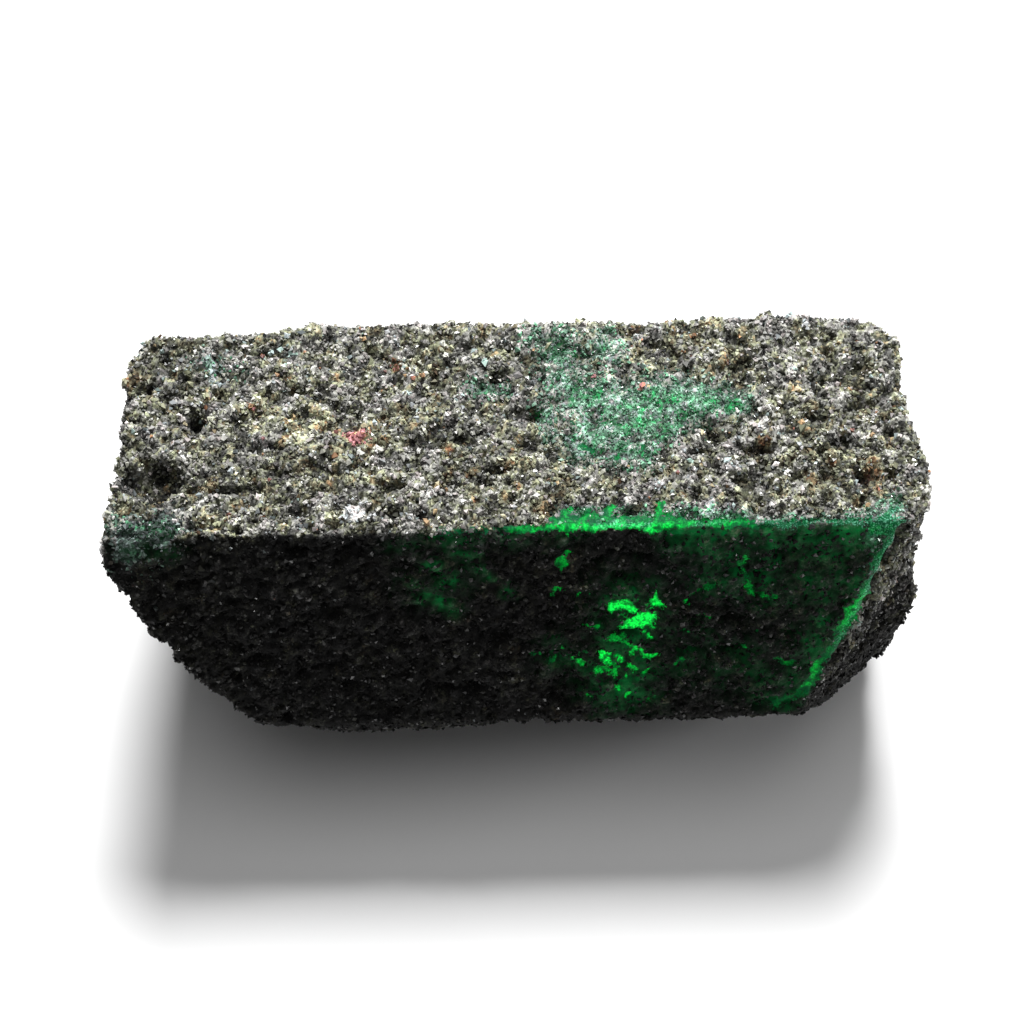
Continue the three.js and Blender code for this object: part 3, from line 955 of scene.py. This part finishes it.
def spinBasis(normals, draw):
    # for each grain, three axes turned at random about the surface's normal and tipped away from it
    tipped = unit(normals + chip["tip"] * draw.normal(size=normals.shape))
    side = unit(np.cross(tipped, draw.normal(size=normals.shape)))
    return np.stack([side, np.cross(tipped, side), tipped], axis=1)


def grainMesh(name, centres, normals, sizes, flats, palette, draw):
    # Every grain is a chip with its six corners pushed about, flattened along its own third axis. palette
    # holds each grain's place on the colour chart, from which each of its eight faces strays a little.
    count = len(centres)
    corners = chipCorners + draw.uniform(-chip["uneven"], chip["uneven"], (count, 6, 3))
    lengths = draw.uniform(*chip["length"], count)
    breadths = draw.uniform(*chip["breadth"], count)
    stretch = np.stack([lengths, breadths, flats], axis=1)
    corners = corners * (stretch * sizes[:, None] / 2)[:, None, :]
    points = centres[:, None, :] + corners @ spinBasis(normals, draw)
    points[..., 2] = np.clip(points[..., 2], 0.002, cadBox[1][2] / mm + crystal["grainRoom"])
    faces = np.arange(count)[:, None, None] * 6 + chipFaces
    spots = palette[:, None, :] + draw.normal(size=(count, 8, 2)) * (chip["faceTone"], chip["faceCast"])
    uvs = (0.01 + 0.98 * np.clip(spots, 0, 1)[:, :, None, :] + chip["patch"]).reshape(-1, 2)
    return meshFrom(name, points.reshape(-1, 3), [faces.reshape(-1, 3)], uvs)


def grainMaterial(name, roughness, gloss):
    # the colour chart, laid on the piece's own map: tone runs across it and cast runs up
    g = Graph(name)
    chart = g.node("ShaderNodeUVMap", {"uv_map": "OFBake"})
    across = g.node("ShaderNodeSeparateXYZ", None, {0: chart}, output=0)
    up = g.node("ShaderNodeSeparateXYZ", None, {0: chart}, output=1)
    return g.finish(g.shader(Base_Color=chartColour(g, across, up), Roughness=roughness, IOR=1.55,
                             Specular_IOR_Level=gloss))


def scatter(mineral, surface, draw):
    # Picks triangles of the surface by area and by how well this mineral suits the crust there, and a
    # random point in each. There are few grains over bare beryl and veils, and near the floor.
    points, facing, masks, triangles = surface
    a, b, c = points[triangles].transpose(1, 0, 2)
    area = np.linalg.norm(np.cross(b - a, c - a), axis=1)
    mask = {name: values[triangles].mean(1) for name, values in masks.items()}
    liking = mineral["onTop"] + (mineral["onDark"] - mineral["onTop"]) * mask["shade"]
    liking = liking + (mineral["onTint"] - liking) * mask["tint"]
    liking = liking * np.maximum(1 + (mineral["inCracks"] - 1) * mask["deep"], 0.1)
    liking = liking * (1 - 0.96 * ease(0.36, 0.58, mask["bare"]))
    liking = liking * (1 - 0.70 * np.minimum(mask["veil"], 1))
    height = points[triangles, 2].mean(1)
    liking = liking * (0.08 + 0.92 * ease(0.05, 0.6, height))
    weight = area * liking
    chosen = draw.choice(len(triangles), mineral["count"], p=weight / weight.sum())
    r, s = np.sqrt(draw.random(mineral["count"])), draw.random(mineral["count"])
    shares = np.stack([1 - r, r * (1 - s), r * s], axis=1)[..., None]
    corners = triangles[chosen]
    centres = (points[corners] * shares).sum(1)
    normals = unit((facing[corners] * shares).sum(1))
    return centres, normals, {name: values[chosen] for name, values in mask.items()}


def grainColours(mineral, centres, mask, draw):
    # Each grain's place on the chart: its mineral's own lightness plus the crust's tone there, and the
    # crust's cast, with light grains more neutral than dark ones. On thin crust most are green, and near an
    # accent they take its colour.
    count = len(centres)
    low, high = mineral["light"]
    # the crust's tone carries its painted shade, so grains in cracks and on the faces turned front and down
    # are darker
    tone = low + (high - low) * draw.beta(1.3, 1.5, count) + 0.95 * mask["tone"]
    aboveGrey = tone + crustFinish["shadeDarkening"] * mask["shade"] - 0.70
    cast = mask["cast"] + 0.26 * aboveGrey + 0.045 * draw.normal(size=count)
    cast = np.clip(cast, 0.10, 0.80)
    stray = draw.random(count)
    for likely, least, most in crustFinish["strayCasts"]:
        cast = np.where(stray < likely, draw.uniform(least, most, count), cast)
    green = draw.random(count) < 2.6 * mask["tint"] - 0.10
    seaGreen = crustFinish["greenCast"] + 0.26 * (mask["cast"] - crustFinish["cast"])
    seaGreen = seaGreen + 0.03 * draw.normal(size=count)
    cast = np.where(green, np.clip(seaGreen, 0.80, 0.98), cast)
    tone = np.where(green, tone - 0.05, tone)
    for x, y, z, reach, accentCast, accentTone, share in accents:
        near = share * np.exp(-farFrom(centres, (x, y, z), (reach,) * 3) ** 2) > draw.random(count)
        cast = np.where(near, accentCast + 0.02 * draw.normal(size=count), cast)
        tone = np.where(near, accentTone + 0.07 * draw.normal(size=count), tone)
    return np.stack([tone, cast], axis=1)


def finishGrains(piece, mineral):
    piece.data.shade_flat()
    finish = grainMaterial(piece.name + "_finish", mineral["roughness"], mineral["gloss"])
    piece.data.materials.append(finish)
    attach(piece, "root")


def makeGrains(mineral, surface, seed):
    # One piece of grains. Their sizes are the usual one times the exponential of a bell curve, and each
    # grain stands a little way out of the crust.
    draw = np.random.default_rng(seed)
    centres, normals, mask = scatter(mineral, surface, draw)
    count = mineral["count"]
    sizes = mineral["size"] * np.exp(mineral["spread"] * draw.normal(size=count))
    sizes = np.clip(sizes, chip["smallest"], chip["largest"]) * (1 - 0.30 * mask["tint"])
    flats = draw.uniform(*mineral["flat"], count)
    least, more = chip["lift"]
    lift = (least + more * draw.random(count)) * sizes * (1 - 0.6 * mask["shade"])
    palette = grainColours(mineral, centres, mask, draw)
    raised = centres + normals * lift[:, None]
    piece = grainMesh(mineral["name"], raised, normals, sizes, flats, palette, draw)
    finishGrains(piece, mineral)
    print(mineral["name"], count, "grains")


cluster = {
    "chips": 3,                  # how many chips make one of the single grains
    "chipWidth": (0.60, 0.85),   # between which shares of the grain's width theirs lie
    "flat": (0.55, 0.85),
    "lift": 0.26,                # how far the grain stands out of the crust, as a share of its width
    "apart": 0.22,               # and how far its chips lie from its middle
    "slot": "schist_crust",
    "roughness": 0.5,
    "gloss": 0.4,
}


def makeSingleGrains(surface, seed):
    # the listed grains, each a few chips set into the nearest point of the top face
    draw = np.random.default_rng(seed)
    points, facing = surface[:2]
    x, y, sizes, casts, tones = np.repeat(np.array(singleGrains), cluster["chips"], axis=0).T
    top = np.flatnonzero(facing[:, 2] > 0.6)
    gap = (points[top, None, 0] - x) ** 2 + (points[top, None, 1] - y) ** 2
    nearest = top[gap.argmin(0)]
    flats = draw.uniform(*cluster["flat"], len(x))
    centres = points[nearest] + facing[nearest] * cluster["lift"] * sizes[:, None]
    centres = centres + draw.uniform(-cluster["apart"], cluster["apart"], centres.shape) * sizes[:, None]
    sizes = sizes * draw.uniform(*cluster["chipWidth"], len(x))
    palette = np.stack([tones, casts], axis=1)
    piece = grainMesh("single_grains", centres, facing[nearest], sizes, flats, palette, draw)
    finishGrains(piece, cluster)
    print("single_grains", len(singleGrains), "grains")


view = {
    "target": (-0.55, -9.66, 40.0),   # mm
    "elevation": 61.0,                # degrees
    "distance": 207.8,                # mm
    "width": 27.0,                    # degrees of view
    "roll": 1.3,                      # degrees
}


def addCamera():
    # looks at the target from in front, raised by the elevation, then rolls about its own line of sight
    camera = bpy.data.objects.new("camera", bpy.data.cameras.new("camera"))
    bpy.context.scene.collection.objects.link(camera)
    camera.data.sensor_fit = "HORIZONTAL"
    camera.data.angle = math.radians(view["width"])
    camera.data.clip_start = 0.01
    raised = math.radians(view["elevation"])
    back = Vector((0, -math.cos(raised), math.sin(raised)))
    across = Vector((1, 0, 0))
    turned = Matrix.Rotation(math.radians(-view["roll"]), 3, back)
    axes = Matrix((turned @ across, turned @ back.cross(across), back)).transposed()
    camera.matrix_world = axes.to_4x4()
    camera.location = (Vector(view["target"]) + back * view["distance"]) * mm
    bpy.context.scene.camera = camera


studio = {
    # each lamp's name, place in metres, width in metres and watts
    "lamps": [("key", (0.05, 0.41, 0.66), 0.26, 11.2),
              ("overhead", (0.0, -0.02, 0.80), 0.60, 1.4),
              ("side", (0.60, 0.02, 0.14), 0.30, 1.2)],
    "floorRadius": 0.42,    # metres
    "floorSides": 128,
    "floorColour": (0.86, 0.86, 0.86, 1.0),
    "ambient": 0.08,        # how strongly the room lights the crystal from all round
    "backdrop": 0.95,       # and how pale the camera sees it
}


def addSoftLight(name, place, size, watts):
    # a round lamp that faces the origin
    lamp = bpy.data.lights.new(name, "AREA")
    lamp.shape = "DISK"
    lamp.size = size
    lamp.energy = watts
    light = bpy.data.objects.new(name, lamp)
    bpy.context.scene.collection.objects.link(light)
    light.location = place
    light.rotation_euler = (-Vector(place)).to_track_quat("-Z", "Y").to_euler()
    light.visible_camera = False


def addFloor():
    bpy.ops.mesh.primitive_circle_add(vertices=studio["floorSides"], radius=studio["floorRadius"],
                                      fill_type="NGON")
    floor = bpy.context.object
    floor.name = "floor"
    g = Graph("pale_floor")
    floor.data.materials.append(g.finish(g.shader(Base_Color=studio["floorColour"], Roughness=0.9)))


def addWorld(ambient, shown):
    # the crystal gets the ambient light, and the camera sees the backdrop
    world = bpy.data.worlds.new("studio")
    bpy.context.scene.world = world
    world.use_nodes = True
    tree = world.node_tree
    tree.nodes.clear()
    seen = tree.nodes.new("ShaderNodeLightPath")
    dim = tree.nodes.new("ShaderNodeBackground")
    dim.inputs[0].default_value = (ambient, ambient, ambient, 1)
    pale = tree.nodes.new("ShaderNodeBackground")
    pale.inputs[0].default_value = (shown, shown, shown, 1)
    mixed = tree.nodes.new("ShaderNodeMixShader")
    out = tree.nodes.new("ShaderNodeOutputWorld")
    tree.links.new(seen.outputs["Is Camera Ray"], mixed.inputs[0])
    tree.links.new(dim.outputs[0], mixed.inputs[1])
    tree.links.new(pale.outputs[0], mixed.inputs[2])
    tree.links.new(mixed.outputs[0], out.inputs[0])


points, facing, masks, columns = buildSurface()
polygons, bodyUvs = skinOver(columns, len(points))
body = meshFrom("crusted_crystal", points, polygons, bodyUvs)
body.data.polygons.foreach_set("use_smooth", np.ones(len(body.data.polygons), bool))
storeMasks(body, masks)
body.data.materials.append(bodyMaterial())
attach(body, "root")
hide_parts(nodeName)
print("crusted_crystal", len(points), "points")

quads, fans = polygons
triangles = np.concatenate([quads[:, :3], quads[:, [0, 2, 3]], fans])
surface = (points, facing, masks, triangles)
for number, mineral in enumerate(minerals):
    makeGrains(mineral, surface, 100 + number)
makeSingleGrains(surface, 200)

addCamera()
for lamp in studio["lamps"]:
    addSoftLight(*lamp)
addFloor()
addWorld(studio["ambient"], studio["backdrop"])
bpy.context.scene.view_settings.view_transform = "Standard"
